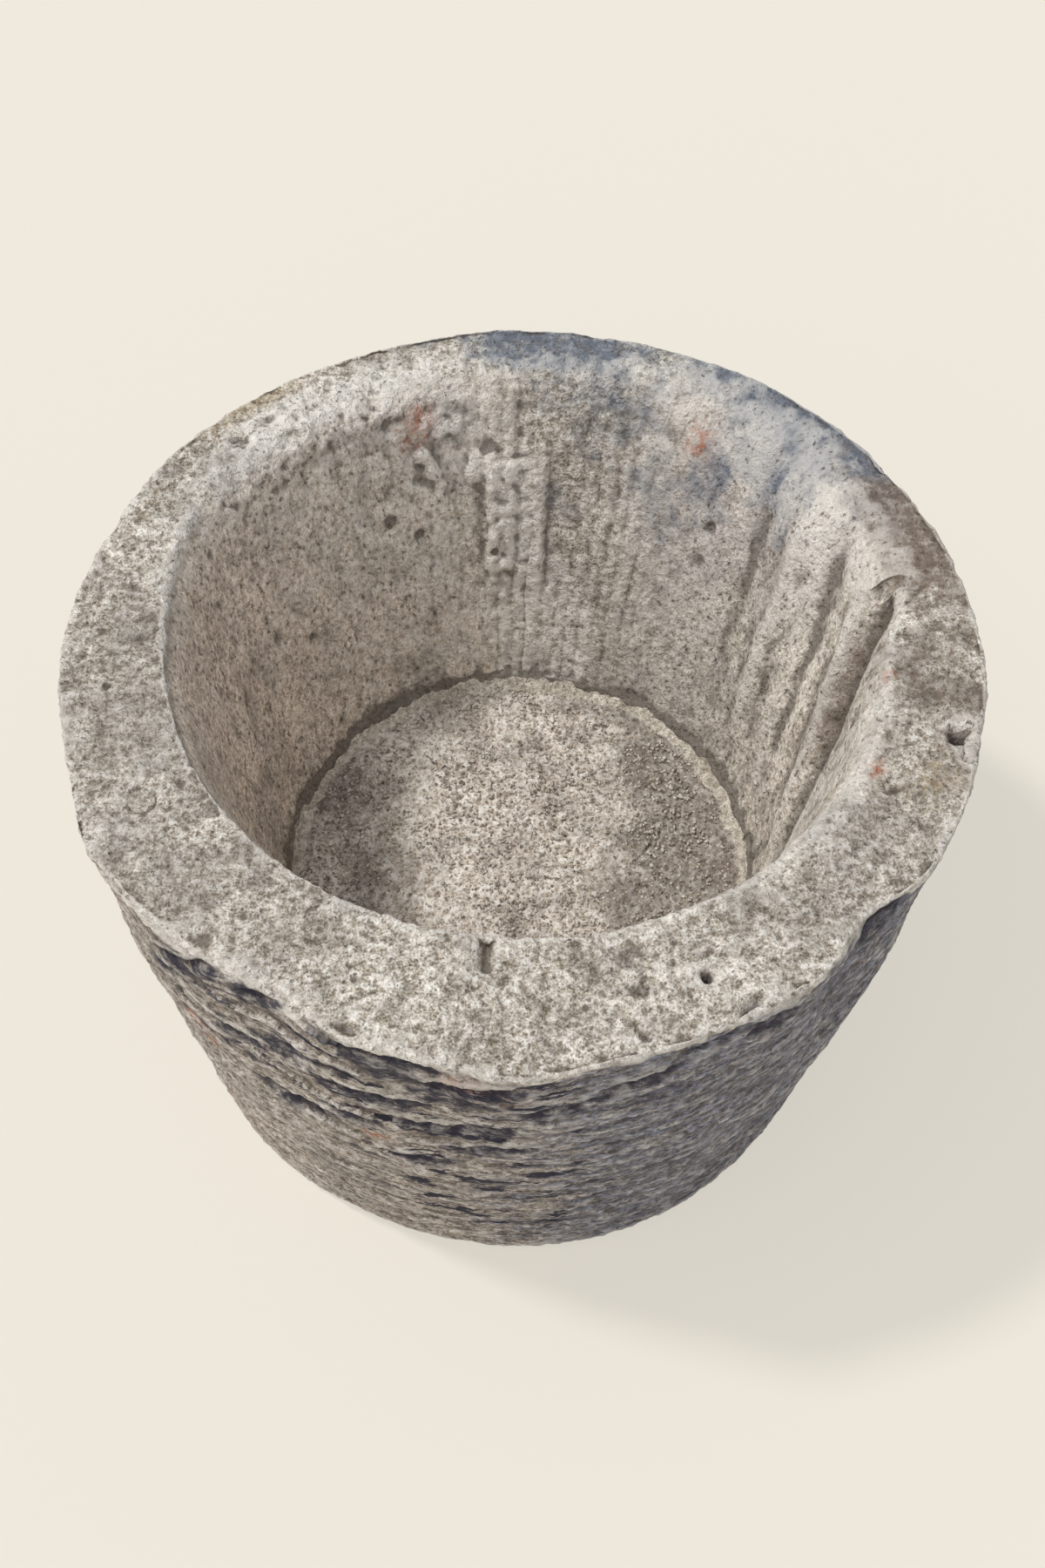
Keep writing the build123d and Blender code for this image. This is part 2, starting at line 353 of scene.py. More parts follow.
def rimRelief(p, a):
    reach = np.hypot(p[:, 0] - stone["rimCentre"][0], p[:, 1] - stone["rimCentre"][1])
    relief = 3.6 * fractal(p, 150, 2, 51) + 1.8 * fractal(p, 44, 2, 53)
    relief += 1.2 * fractal(p, 13, 2, 55) - 1.5
    relief += 0.6 * fractal(p, 5, 1, 56)
    relief -= 2.2 * scatteredPits(p, 17.0, 0.3, 57) * (0.5 + window(a, 200, 60) + window(a, 300, 40))
    brown = window(a, 13, 17)
    relief += brown * 0.9 * ridged(p, (60, 7, 60), 58) * smoothStep(reach, 340, 372)

    mouthReach = np.hypot(p[:, 0] - stone["mouthCentre"][0], p[:, 1] - stone["mouthCentre"][1])
    broken = np.clip(window(a, 126, 42) * 1.2, 0, 1) * smoothStep(-mouthReach, -352, -322)
    relief += broken * (3.0 * fractal(p, 12, 3, 61) - 1.5 * scatteredPits(p, 12.0, 0.5, 63))

    wobble = 1.0 + 0.25 * softNoise(p / 7.0, 59)

    def dent(direction, distance, radius, depth):
        x = stone["rimCentre"][0] + distance * math.cos(math.radians(direction))
        y = stone["rimCentre"][1] + distance * math.sin(math.radians(direction))
        away = np.hypot(p[:, 0] - x, p[:, 1] - y) * wobble
        return depth * np.exp(-(away / radius) ** 4)

    for row in stone["dents"]:
        relief -= dent(*row)
    relief -= dent(*stone["roughDent"]) * (0.7 + 0.6 * ridged(p, 6, 60))
    for start, end, width, depth in stone["cuts"]:
        relief -= depth * nearLine(p, start, end, width)
    return relief


def hollowRelief(p, a):
    z = p[:, 2]
    top, low = stone["height"], stone["panTop"]
    depthShare = np.clip((top - z) / (top - low), 0, 1)
    relief = 2.4 * fractal(p, 120, 2, 71) + 1.0 * fractal(p, (14, 14, 34), 2, 73)
    relief += 0.6 * fractal(p, 6, 1, 75)
    relief -= 2.2 * scatteredPits(p, 30.0, 0.3, 77) * (1 - window(a, 20, 40))

    def lean(lip, foot, share):
        # the distance along the wall from a line that leans from its lip to its foot
        return arc(a, lip + turnTo(foot, lip) * share, 300.0 - 80.0 * depthShare)

    # flutes, with ridges left between them
    for lip, foot, radius, depth in stone["flutes"]:
        span = (top - low - 40.0) / (top - low)
        share = np.clip(depthShare / span, 0, 1)
        spread = np.sqrt(2.0 * radius * depth) * 0.62 * (1.0 - 0.45 * share)
        relief -= depth * (1.0 - share) ** 0.8 * np.exp(-(lean(lip, foot, share) / spread) ** 2)
    for lip, foot, height in stone["ridges"]:
        crest = height * np.exp(-(lean(lip, foot, depthShare) / 12.0) ** 2)
        relief += crest * smoothStep(z, low + 20, low + 90) * smoothStep(top - z, 10, 70)
    fluted = np.clip(window(a, 20, 34) + window(a, 350, 24), 0, 1)
    relief += fluted * 1.5 * fractal(p, (16, 16, 110), 2, 79)
    # chisel bands down the back wall: each a little deeper or shallower than the next
    chiselled = smoothStep(a, 58, 66) * smoothStep(-a, -100, -94)
    band = a / 3.35 + 0.25 * softNoise(p / 70.0, 81) + 0.02 * z / 10
    number = np.floor(band)
    part = band - number
    level = np.sin(number * 12.9898) * 43758.5453
    level = level - np.floor(level)
    chiselled = chiselled * (0.35 + 0.65 * smoothStep(fractal(p, (70, 70, 160), 2, 82), -0.15, 0.25))
    relief += chiselled * (1.9 * (level - 0.5) - 0.5 * np.cos(2 * np.pi * part))
    relief += chiselled * 1.1 * fractal(p, (11, 11, 5), 2, 83)
    proud = smoothStep(a, 84.5, 86) * smoothStep(-a, -98 - 0.6 * np.sin(z / 9), -96.5)
    proud = proud * smoothStep(-z, -393, -388)
    relief += proud * (4.0 + 1.6 * fractal(p, (12, 12, 8), 2, 84)) * smoothStep(z, 250, 290)
    slab = smoothStep(a, 91, 92.5) * smoothStep(-a, -99, -97) * smoothStep(-z, -400, -396)
    slab = slab * smoothStep(z, 278, 284)
    relief += slab * 4.0 * (0.6 + 0.8 * softNoise(p / 9.0, 85))
    # broken edge along the back left
    broken = np.clip(window(a, 126, 42) * 1.2, 0, 1) * smoothStep(z, 405, 460)
    relief += broken * (3.4 * (ridged(p, 24, 87) - 0.6) + 3.4 * fractal(p, 11, 3, 89))
    flake = np.clip(window(a, 104, 16), 0, 1) * smoothStep(z, 350, 380) * smoothStep(-z, -452, -430)
    relief += flake * 4.0 * np.clip(fractal(p, (20, 20, 30), 2, 91) * 3.0, -0.2, 0.8)
    for direction, height, radius, depth in stone["wallHoles"]:
        away = np.hypot(arc(a, direction, 270.0), z - height)
        relief -= depth * np.exp(-(away / radius) ** 4)
    return relief


def gridNormals(rows):
    alongRow = np.roll(rows, -1, 1) - np.roll(rows, 1, 1)
    acrossRow = np.gradient(rows, axis=0)
    normal = np.cross(alongRow, acrossRow)
    size = np.linalg.norm(normal, axis=2, keepdims=True)
    return normal / np.maximum(size, 1e-9)


def closedMesh(name, rows, firstPole, lastPole):
    # rows of rings joined into one closed skin with a pole at each end
    count, columns = rows.shape[:2]
    points = np.concatenate([rows.reshape(-1, 3), [firstPole, lastPole]]) * mm
    ring = np.arange(columns)
    after = (ring + 1) % columns
    base = (np.arange(count - 1) * columns)[:, None]
    quads = np.stack([base + ring, base + after, base + columns + after, base + columns + ring], -1)
    quads = quads.reshape(-1, 4)
    first = np.stack([np.full(columns, count * columns), after, ring], -1)
    lastRow = (count - 1) * columns
    last = np.stack([np.full(columns, count * columns + 1), lastRow + ring, lastRow + after], -1)
    mesh = bpy.data.meshes.new(name)
    faces = len(quads) + len(first) + len(last)
    mesh.vertices.add(len(points))
    mesh.vertices.foreach_set("co", points.astype(np.float32).ravel())
    corners = np.concatenate([quads.ravel(), first.ravel(), last.ravel()]).astype(np.int32)
    mesh.loops.add(len(corners))
    mesh.loops.foreach_set("vertex_index", corners)
    starts = np.concatenate([np.arange(len(quads)) * 4, len(quads) * 4 + np.arange(2 * columns) * 3])
    starts = starts.astype(np.int32)
    mesh.polygons.add(faces)
    mesh.polygons.foreach_set("loop_start", starts)
    mesh.update(calc_edges=True)
    mesh.validate()
    piece = bpy.data.objects.new(name, mesh)
    bpy.context.scene.collection.objects.link(piece)
    return piece


def bakedModifiers(piece):
    # swaps the piece's mesh for the result of its modifiers
    bpy.context.view_layer.update()
    graph = bpy.context.evaluated_depsgraph_get()
    mesh = bpy.data.meshes.new_from_object(piece.evaluated_get(graph))
    piece.modifiers.clear()
    piece.data = mesh
    return piece


def shadeSmooth(piece):
    piece.data.polygons.foreach_set("use_smooth", [True] * len(piece.data.polygons))
    piece.data.update()


def meshPoints(piece):
    points = np.empty(len(piece.data.vertices) * 3, np.float32)
    piece.data.vertices.foreach_get("co", points)
    return points.reshape(-1, 3).astype(float) / mm


def meshHollows(piece, rounds):
    # how far each point lies under the smoothed skin, in millimetres
    count = len(piece.data.vertices)
    start = meshPoints(piece)
    edges = np.empty(len(piece.data.edges) * 2, np.int32)
    piece.data.edges.foreach_get("vertices", edges)
    edges = edges.reshape(-1, 2)
    normals = np.empty(count * 3, np.float32)
    piece.data.vertices.foreach_get("normal", normals)
    normals = normals.reshape(-1, 3)
    links = np.bincount(edges.ravel(), minlength=count)[:, None]
    points = start.copy()
    for _ in range(rounds):
        sums = [np.bincount(edges[:, 0], points[edges[:, 1], axis], count)
                + np.bincount(edges[:, 1], points[edges[:, 0], axis], count) for axis in range(3)]
        total = np.stack(sums, 1)
        points = 0.5 * points + 0.5 * total / np.maximum(links, 1)
    return ((points - start) * normals).sum(1)


def setMask(piece, name, values):
    layer = piece.data.attributes.new(name, "FLOAT", "POINT")
    layer.data.foreach_set("value", np.clip(values, 0, 1).astype(np.float32))


def makeStoneBlock():
    a, rows, zones = stoneGrid()
    normals = gridNormals(rows)
    flat = rows.reshape(-1, 3)
    direction = np.broadcast_to(a, rows.shape[:2]).ravel()
    weights = np.repeat(zones, len(a), axis=0)
    push = np.zeros(len(flat))
    for index, relief in enumerate((outerRelief, rimRelief, hollowRelief)):
        used = weights[:, index] > 0
        push[used] += weights[used, index] * relief(flat[used], direction[used])
    moved = flat + normals.reshape(-1, 3) * push[:, None]
    moved[:, 2] = np.clip(moved[:, 2], 0.0, stone["height"] + 4.0)
    piece = closedMesh("stoneBlock", moved.reshape(rows.shape), (0, 0, 0),
                       (stone["bedCentre"][0], stone["bedCentre"][1], stone["panFloor"]))
    print("stone block: raw mesh", len(piece.data.polygons), "faces")
    thin = piece.modifiers.new("thin", "DECIMATE")
    thin.ratio = stone["triangles"] / (2.0 * len(piece.data.polygons))
    bakedModifiers(piece)
    shadeSmooth(piece)
    print("stone block: kept", len(piece.data.polygons), "faces")
    return piece


def stoneMasks(piece):
    # where the stone is stained, pale, darker in its hollows and paler where it stands out, and where
    # painted light and shade go, as attributes that the material reads
    p = meshPoints(piece)
    x, y, z = p[:, 0], p[:, 1], p[:, 2]
    cx, cy = stone["rimCentre"]
    reach = np.hypot(x - cx, y - cy)
    a = np.degrees(np.arctan2(y - cy, x - cx)) % 360.0
    height = stone["height"]
    onTop = smoothStep(z, height - 16, height - 5)
    mouthReach = np.hypot(x - stone["mouthCentre"][0], y - stone["mouthCentre"][1])

    # the outer half of the wall, from the middle between its two faces
    wallShare = z / height
    outerReach = np.hypot(x - cx * wallShare, y - cy * wallShare)
    outerRadius = stone["baseRadius"] + (stone["rimRadius"] - stone["baseRadius"]) * wallShare
    share = np.clip((z - stone["panTop"]) / (height - stone["panTop"]), 0, 1)
    mx, my = between(stone["bedCentre"], stone["mouthCentre"], share)
    innerReach = np.hypot(x - mx, y - my)
    turn = np.degrees(np.arctan2(y - my, x - mx)) % 360.0
    footRadius = stone["bedRadius"] + 5.0
    innerRadius = footRadius + (stone["mouthRadius"] - footRadius) * share
    innerRadius += share ** 2 * lobes(turn, stone["mouthLobes"])
    middle = (innerReach - innerRadius) - (outerRadius - outerReach)
    outside = smoothStep(middle, -3, 3) * (1 - onTop)
    inside = (1 - outside) * (1 - onTop)

    patchy = fractal(p, 60, 3, 101)
    rough = fractal(p, 18, 2, 103)
    hollow = meshHollows(piece, 14)
    setMask(piece, "cavity", 0.5 + hollow / 5.0)

    blue = 2.8 * window(a, 85, 14) * smoothStep(mouthReach, 300, 314) * onTop
    blue += 2.0 * window(a, 49, 20) * smoothStep(reach, 308, 338) * onTop
    blue += 0.9 * window(a, 38, 12) * smoothStep(reach, 335, 365) * onTop
    blue += 0.75 * window(a, 47, 15) * inside * smoothStep(z, 370, 460)
    blue += 0.35 * window(a, 70, 20) * inside * smoothStep(z, 300, 420)
    setMask(piece, "blueStain", (blue + 0.6 * patchy) * (blue > 0.04))

    brown = 2.2 * window(a, 20, 15) * smoothStep(reach, 308, 340) * onTop
    brown += 0.6 * window(a, 350, 14) * onTop
    foldFoot = 11 - 12 * np.clip((height - z) / 300, 0, 1)
    brown += 0.9 * window(a, foldFoot, 8) * inside * smoothStep(z, 230, 300)
    brown += 0.6 * window(a, 1, 10) * inside * smoothStep(z, 300, 440)
    setMask(piece, "brownStain", (brown + 0.5 * patchy) * (brown > 0.04))

    rust = np.zeros(len(p))
    for direction, level, size in stone["outerRust"]:
        away = (arc(a, direction, 360) / size) ** 2 + ((z - level) / (size * 0.6)) ** 2
        rust += outside * np.exp(-away)
    for direction, level, size in stone["innerRust"]:
        away = (arc(a, direction, 300) / size) ** 2 + ((z - level) / size) ** 2
        rust += 0.9 * inside * np.exp(-away)
    for spotX, spotY, size in stone["lipRust"]:
        away = ((x - spotX) ** 2 + (y - spotY) ** 2) / size ** 2
        rust += 0.8 * np.exp(-away) * smoothStep(z, 430, 460)
    setMask(piece, "rust", rust * (0.75 + 0.9 * rough))

    ochre = window(a, 130, 12) * smoothStep(reach, 355, 378)
    ochre += 0.5 * window(a, 338, 6) * window(reach, 350, 30) * onTop
    setMask(piece, "ochre", ochre)

    chipped = np.clip(smoothStep(mouthReach, 290, 306) * smoothStep(-mouthReach, -348, -330), 0, 1)
    pale = window(a, 125, 38) * chipped * smoothStep(z, 415, 450)
    pale += 0.8 * window(a, 104, 14) * inside * smoothStep(z, 350, 400)
    # paler on the back wall below the step: pale fresh stone, and painted sunlight that widens towards the
    # bottom
    bandEdge = 85 - 15 * smoothStep(-z, -340, -210)
    band = smoothStep(a, bandEdge, bandEdge + 3)
    pale += 0.95 * band * smoothStep(-a, -98, -95) * inside * smoothStep(-z, -396, -388)
    pale += 0.3 * window(a, 114, 44) * inside
    pale += 0.4 * window(a, 66, 9) * inside * smoothStep(z, 290, 330) * smoothStep(-z, -462, -440)
    depthShare = np.clip((height - z) / (height - stone["panTop"]), 0, 1)
    # painted highlights: along the edge of the groove at the front right, and on the crest of a ridge
    # further back
    pale += 0.8 * window(a, 345 + 2 * (1 - depthShare), 5) * inside
    pale += 0.7 * window(a, 29, 7) * inside * smoothStep(z, 280, 400)
    # painted highlight on the worn, rounded inner edge of the rim at the front right
    pale += 0.5 * window(a, 325, 26) * onTop * smoothStep(-mouthReach, -335, -305)
    pale += 1.2 * outside * np.exp(-((a - 226.5) / 2.2) ** 2 - ((z - 384) / 4.5) ** 2)
    setMask(piece, "pale", pale * (0.8 + 0.9 * rough))

    # painted shade: soft dark patches across the rim, and darker low in the hollow
    dark = 0.8 * window(a, 191, 12) * onTop
    dark += 0.7 * window(a, 176, 7) * onTop * smoothStep(-reach, -360, -330)
    dark += 0.7 * window(a, 108, 9) * onTop * smoothStep(reach, 350, 368)
    dark += 0.8 * window(a, 352, 9) * onTop
    dark += 0.75 * window(a, 303, 6) * onTop * smoothStep(-reach, -345, -310)
    dark += 0.6 * window(a, 330, 7) * onTop * smoothStep(-reach, -345, -320)
    dark += 0.4 * window(a, 262, 6) * onTop * smoothStep(-reach, -350, -320)
    for direction, spread, amount in stone["paintedShadeSpots"]:
        dark += amount * window(a, direction, spread) * onTop
    dark += inside * 0.3 * window(a, 205, 50) * smoothStep(-z, -300, -200)
    dark += 0.3 * inside * smoothStep(-z, -215, -165)
    setMask(piece, "paintedShade", (dark + 0.6 * patchy) * (dark > 0.03))

    shady = smoothStep(a, 254, 290) + smoothStep(-a, -110, -60)
    setMask(piece, "shadySide", outside * shady)
    # painted shade: a grey tone, strongest on the back right of the hollow and light over the outer wall
    coolShade = outside * 0.2 + inside * (0.05 + 0.75 * window(a, 52, 34))
    setMask(piece, "coolShade", coolShade + 0.3 * patchy)
    # the hollow without its back wall: where its streaky grain goes, and where painted light lifts it
    setMask(piece, "streaksAndPaintedLight", inside * (1 - window(a, 80, 26)))
    setMask(piece, "outside", outside)
    setMask(piece, "warm", inside * np.clip(window(a, 170, 90), 0, 1))
    # painted shade: darker inside the opened crevices, and a painted shadow under each ledge
    shadedOpening = np.clip((creviceDepth(p, a) - 2.5) / 4.0, 0, 1)
    ledgeShadow = (0.80 + 0.8 * rough) * ledgeShade(p, a)
    setMask(piece, "crevice", outside * np.maximum(ledgeShadow, shadedOpening))
    # where the painted lens-shaped shadows go, on the front and front left of the outer wall
    lensShadeZone = 1.3 * window(a, 266, 26) * smoothStep(z, 10, 90)
    lensShadeZone += 0.8 * window(a, 240, 40) * smoothStep(z, 200, 330)
    setMask(piece, "lensShadeZone", outside * np.clip(lensShadeZone, 0, 1))


# materials: two shared node groups, and a small helper


def socket(tree, kind, name, where, value=None):
    made = tree.interface.new_socket(name=name, in_out=where, socket_type=kind)
    if value is not None:
        made.default_value = value
    return made


def calc(tree, kind, first, second, clamp=False):
    # one math node; each side is a number or another node's output
    node = tree.nodes.new("ShaderNodeMath")
    node.operation = kind
    node.use_clamp = clamp
    for index, value in enumerate((first, second)):
        if isinstance(value, (int, float)):
            node.inputs[index].default_value = value
        else:
            tree.links.new(value, node.inputs[index])
    return node.outputs[0]


def stretched(tree, amount):
    # Object coordinates, stretched upwards by an amount under 1 and squeezed by one over 1
    coords = tree.nodes.new("ShaderNodeTexCoord")
    shape = tree.nodes.new("ShaderNodeCombineXYZ")
    shape.inputs[0].default_value = 1.0
    shape.inputs[1].default_value = 1.0
    tree.links.new(amount, shape.inputs[2])
    squeeze = tree.nodes.new("ShaderNodeVectorMath")
    squeeze.operation = "MULTIPLY"
    tree.links.new(coords.outputs["Object"], squeeze.inputs[0])
    tree.links.new(shape.outputs[0], squeeze.inputs[1])
    return squeeze.outputs[0]


def stoneGrainGroup():
    # grains, dark pits, clouds and a height, shared by every stone and mortar here
    tree = bpy.data.node_groups.new("stoneGrain", "ShaderNodeTree")
    for name, value in (("Grain Scale", 520.0), ("Lump Scale", 150.0), ("Pit Scale", 260.0),
                        ("Pit Share", 0.40), ("Stretch", 1.0)):
        socket(tree, "NodeSocketFloat", name, "INPUT", value)
    for name in ("Grain", "Pits", "Clouds", "Height"):
        socket(tree, "NodeSocketFloat", name, "OUTPUT")
    nodes, links = tree.nodes, tree.links
    start = nodes.new("NodeGroupInput")
    end = nodes.new("NodeGroupOutput")
    place = stretched(tree, start.outputs["Stretch"])

    def noise(scale, detail, rough):
        node = nodes.new("ShaderNodeTexNoise")
        node.inputs["Detail"].default_value = detail
        node.inputs["Roughness"].default_value = rough
        if isinstance(scale, float):
            node.inputs["Scale"].default_value = scale
        else:
            links.new(scale, node.inputs["Scale"])
        links.new(place, node.inputs["Vector"])
        return node.outputs["Fac"]

    def remap(value, low, high):
        node = nodes.new("ShaderNodeMapRange")
        node.inputs["From Min"].default_value = low
        node.inputs["From Max"].default_value = high
        links.new(value, node.inputs["Value"])
        return node.outputs["Result"]

    fine = noise(start.outputs["Grain Scale"], 2.0, 0.6)
    lumps = noise(start.outputs["Lump Scale"], 3.0, 0.62)
    both = calc(tree, "ADD", calc(tree, "MULTIPLY", fine, 0.42), calc(tree, "MULTIPLY", lumps, 0.58))
    links.new(remap(both, 0.405, 0.60), end.inputs["Grain"])
    cells = noise(start.outputs["Pit Scale"], 2.0, 0.55)
    deep = calc(tree, "SUBTRACT", start.outputs["Pit Share"], cells)
    deep = calc(tree, "MULTIPLY", deep, 9.0, True)
    links.new(deep, end.inputs["Pits"])
    broad = calc(tree, "MULTIPLY", noise(13.0, 3.0, 0.6), 0.5)
    small = calc(tree, "MULTIPLY", noise(42.0, 3.0, 0.6), 0.5)
    links.new(remap(calc(tree, "ADD", broad, small), 0.36, 0.64), end.inputs["Clouds"])
    raised = calc(tree, "ADD", both, lumps)
    links.new(calc(tree, "SUBTRACT", raised, calc(tree, "MULTIPLY", deep, 0.5)), end.inputs["Height"])
    return tree


def stainAndShadeGroup():
    # breaks the edge of a mask up with a ragged noise
    tree = bpy.data.node_groups.new("stainAndShadeEdge", "ShaderNodeTree")
    for name, value in (("Mask", 0.0), ("Scale", 60.0), ("Raggedness", 0.8), ("Amount", 1.0),
                        ("Stretch", 1.0)):
        socket(tree, "NodeSocketFloat", name, "INPUT", value)
    socket(tree, "NodeSocketFloat", "Stain", "OUTPUT")
    nodes, links = tree.nodes, tree.links
    start = nodes.new("NodeGroupInput")
    end = nodes.new("NodeGroupOutput")
    noise = nodes.new("ShaderNodeTexNoise")
    noise.inputs["Detail"].default_value = 6.0
    noise.inputs["Roughness"].default_value = 0.68
    links.new(stretched(tree, start.outputs["Stretch"]), noise.inputs["Vector"])
    links.new(start.outputs["Scale"], noise.inputs["Scale"])
    centred = calc(tree, "SUBTRACT", noise.outputs["Fac"], 0.5)
    ragged = calc(tree, "MULTIPLY", centred, start.outputs["Raggedness"])
    spread = calc(tree, "MULTIPLY", ragged, 3.0)
    fade = calc(tree, "MULTIPLY", start.outputs["Mask"], 4.0, True)
    total = calc(tree, "ADD", start.outputs["Mask"], calc(tree, "MULTIPLY", spread, fade), True)
    links.new(calc(tree, "MULTIPLY", total, start.outputs["Amount"], True), end.inputs["Stain"])
    return tree


grainGroup = stoneGrainGroup()
edgeGroup = stainAndShadeGroup()


class Mixer:
    # small helper that lays nodes down in one material
    def __init__(self, name):
        self.material = bpy.data.materials.new(name)
        self.material.use_nodes = True
        self.nodes = self.material.node_tree.nodes
        self.links = self.material.node_tree.links
        self.shader = self.nodes["Principled BSDF"]
        self.shader.inputs["Specular IOR Level"].default_value = 0.25
        self.shader.inputs["Roughness"].default_value = 0.9

    def group(self, tree, **values):
        node = self.nodes.new("ShaderNodeGroup")
        node.node_tree = tree
        for name, value in values.items():
            name = name.replace("_", " ")
            if isinstance(value, (int, float)):
                node.inputs[name].default_value = value
            else:
                self.links.new(value, node.inputs[name])
        return node

    def mask(self, name):
        node = self.nodes.new("ShaderNodeAttribute")
        node.attribute_name = name
        return node.outputs["Fac"]

    def math(self, kind, first, second, clamp=False):
        return calc(self.material.node_tree, kind, first, second, clamp)

    def mix(self, share, below, above, kind="MIX"):
        node = self.nodes.new("ShaderNodeMix")
        node.data_type = "RGBA"
        node.blend_type = kind
        for name, value in (("Factor", share), ("A", below), ("B", above)):
            target = [plug for plug in node.inputs if plug.name == name and plug.enabled][0]
            if isinstance(value, (int, float)):
                target.default_value = value
            elif isinstance(value, tuple):
                target.default_value = (*value, 1.0)
            else:
                self.links.new(value, target)
        return [plug for plug in node.outputs if plug.enabled][0]

    def ramp(self, value, stops):
        node = self.nodes.new("ShaderNodeValToRGB")
        bar = node.color_ramp
        while len(bar.elements) < len(stops):
            bar.elements.new(0.5)
        for element, (place, colour) in zip(bar.elements, stops):
            element.position = place
            element.color = (*colour, 1.0)
        self.links.new(value, node.inputs[0])
        return node.outputs[0]

    def bump(self, height, distance, strength=1.0, under=None):
        node = self.nodes.new("ShaderNodeBump")
        node.inputs["Distance"].default_value = distance
        node.inputs["Strength"].default_value = strength
        self.links.new(height, node.inputs["Height"])
        if under is not None:
            self.links.new(under, node.inputs["Normal"])
        return node.outputs["Normal"]


limestoneLook = {
    # grain, lump and pit scales, share of pits and stretch: on the rim, in the hollow, on the outer wall
    "rimGrain": (520.0, 165.0, 250.0, 0.39, 1.0),
    "hollowGrain": (560.0, 230.0, 230.0, 0.37, 0.7),
    "outerGrain": (400.0, 125.0, 170.0, 0.42, 1.5),
    "dirtAndShade": (0.11, 0.092, 0.073),
    "deepStone": (0.21, 0.175, 0.135),
    "stone": (0.52, 0.465, 0.385),
    "paleStone": (0.84, 0.80, 0.74),
    "blue": (0.10, 0.13, 0.18),
    "brown": (0.165, 0.118, 0.09),
    "rust": (0.42, 0.13, 0.055),
    "ochre": (0.42, 0.31, 0.15),
    # painted shade: the colour of the dark patches on the rim and low in the hollow
    "paintedShade": (0.17, 0.15, 0.13),
    "outside": (0.74, 0.70, 0.68),
    "shady": (0.37, 0.43, 0.62),
    # painted light: the lift given to the hollow
    "inner": (1.27, 1.27, 1.29),
    "warm": (1.08, 1.0, 0.95),
    # painted shade: grey
    "coolShade": (0.34, 0.315, 0.325),
    # painted shade: the near-black of the crevices, under the ledges and in the lens-shaped shadows
    "paintedShadeBlack": (0.034, 0.031, 0.045),
    # mask, colour, how it is laid on, share, scale and raggedness of its edge, amount, stretch
    "stainsAndShade": [
        # painted light: the hollow lightened to stand in for the light that reaches into it
        ("streaksAndPaintedLight", "inner", "MULTIPLY", 1.0, 20.0, 0.1, 1.0, 1.0),
        # the outer wall darker all over: weathering, and painted shade
        ("outside", "outside", "MULTIPLY", 1.0, 25.0, 0.2, 1.0, 1.0),
        ("shadySide", "shady", "MULTIPLY", 1.0, 26.0, 1.5, 1.0, 6.0),
        ("warm", "warm", "MULTIPLY", 1.0, 20.0, 0.4, 1.0, 1.0),
        # painted shade, grey
        ("coolShade", "coolShade", "MIX", 0.6, 25.0, 0.5, 0.9, 1.0),
        ("pale", "paleStone", "MIX", 0.7, 120.0, 1.0, 1.0, 1.0),
        # painted shade on the rim and low in the hollow
        ("paintedShade", "paintedShade", "MIX", 0.85, 55.0, 0.9, 0.55, 1.0),
        ("blueStain", "blue", "MIX", 0.85, 60.0, 0.9, 1.0, 1.0),
        ("brownStain", "brown", "MIX", 0.85, 80.0, 0.9, 0.95, 1.0),
        ("ochre", "ochre", "MIX", 1.0, 90.0, 1.0, 0.5, 1.0),
        ("rust", "rust", "MIX", 1.0, 160.0, 1.1, 0.85, 1.0),
    ],
    # painted shade in the crevices and under the ledges
    "crevicePaintedShade": ("crevice", "paintedShadeBlack", "MIX", 1.0, 60.0, 1.1, 0.95, 3.0),
    # painted shadows in small lens-shaped patches between the layers: scale, stretch, how much stays closed,
    # sharpness
    "lens": (17.0, 4.5, 0.65, 8.0),
}


